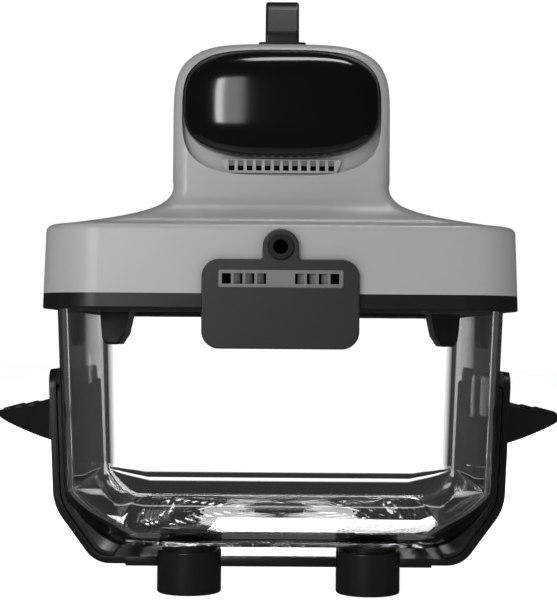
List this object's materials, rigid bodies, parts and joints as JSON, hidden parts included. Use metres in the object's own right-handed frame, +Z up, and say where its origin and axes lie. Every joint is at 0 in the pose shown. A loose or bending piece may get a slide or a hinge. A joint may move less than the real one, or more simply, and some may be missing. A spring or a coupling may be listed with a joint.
{
  "type": "glass-container air fryer",
  "caption": "Countertop air fryer: a grey fan and heater pod that lifts off a clear square glass container held in a black cradle with side handles.",
  "frame": {"origin": "on the floor under the middle of the container, between the feet", "axes": "+Z up, -Y the rear with the cord gland, +Y the control side, +X the right side seen from the rear"},
  "size_m": [0.3172, 0.2282, 0.3197],
  "materials": {
    "housing_grey": "satin",
    "band_black": "satin",
    "cradle_black": "satin",
    "gloss_black": "polished",
    "vent_grey": "satin",
    "rubber": "matte",
    "liner": "matte",
    "glass": "clear",
    "steel": "brushed",
    "aluminium": "satin",
    "element": "satin",
    "fibre": "matte",
    "board": "satin",
    "display": "polished"
  },
  "bodies": {
    "cradle": {"front_left_foot_pad": "rubber", "front_left_foot_post": "cradle_black", "front_rail": "cradle_black", "front_right_foot_pad": "rubber", "front_right_foot_post": "cradle_black", "handle_screws": "steel", "left_arm": "cradle_black", "left_arm_liner": "liner", "left_base_plate": "cradle_black", "left_handle": "cradle_black", "rear_left_foot_pad": "rubber", "rear_left_foot_post": "cradle_black", "rear_rail": "cradle_black", "rear_right_foot_pad": "rubber", "rear_right_foot_post": "cradle_black", "right_arm": "cradle_black", "right_arm_liner": "liner", "right_base_plate": "cradle_black", "right_handle": "cradle_black"},
    "container": {"glass_container": "glass"},
    "pod": {"base_band": "band_black", "control_board": "board", "control_panel": "gloss_black", "cord_gland": "rubber", "display_window": "display", "fan_guard": "steel", "handle_foot_plate": "cradle_black", "head_vent_grille": "vent_grey", "heat_shield": "aluminium", "heating_element": "element", "insulation_ring": "fibre", "left_leg": "band_black", "lower_bearing": "steel", "motor_can": "steel", "motor_deck": "steel", "motor_stator": "aluminium", "pod_housing": "housing_grey", "power_board": "board", "rear_cover": "gloss_black", "rear_plate": "band_black", "rear_vent_grille": "vent_grey", "right_leg": "band_black", "rim_gasket": "rubber", "top_handle": "cradle_black", "upper_bearing": "steel"},
    "rotor": {"motor_shaft": "steel", "motor_rotor": "steel", "convection_fan": "aluminium", "cooling_fan": "aluminium", "fan_nut": "steel"},
    "power_button": {"power_button": "gloss_black"},
    "mode_button": {"mode_button": "gloss_black"},
    "time_down_button": {"time_down_button": "gloss_black"},
    "time_up_button": {"time_up_button": "gloss_black"}
  },
  "joints": [
    {"name": "container_lift", "type": "slide", "parent": "cradle", "child": "container", "axis": [0, 0, 1], "range_m": [0, 0.12]},
    {"name": "pod_lift", "type": "slide", "parent": "container", "child": "pod", "axis": [0, 0, 1], "range_m": [0, 0.2]},
    {"name": "fan_spin", "type": "hinge", "parent": "pod", "child": "rotor", "pos_m": [0, 0, 0.19], "axis": [0, 0, 1], "continuous": true},
    {"name": "power_button_press", "type": "slide", "parent": "pod", "child": "power_button", "axis": [0, -0.8198, -0.5726], "range_m": [0, 0.0008], "stiffness_N_per_m": 600, "springref_m": -0.0005},
    {"name": "mode_button_press", "type": "slide", "parent": "pod", "child": "mode_button", "axis": [0, -0.8198, -0.5726], "range_m": [0, 0.0008], "stiffness_N_per_m": 600, "springref_m": -0.0005},
    {"name": "time_down_button_press", "type": "slide", "parent": "pod", "child": "time_down_button", "axis": [0, -0.8198, -0.5726], "range_m": [0, 0.0008], "stiffness_N_per_m": 600, "springref_m": -0.0005},
    {"name": "time_up_button_press", "type": "slide", "parent": "pod", "child": "time_up_button", "axis": [0, -0.8198, -0.5726], "range_m": [0, 0.0008], "stiffness_N_per_m": 600, "springref_m": -0.0005}
  ]
}
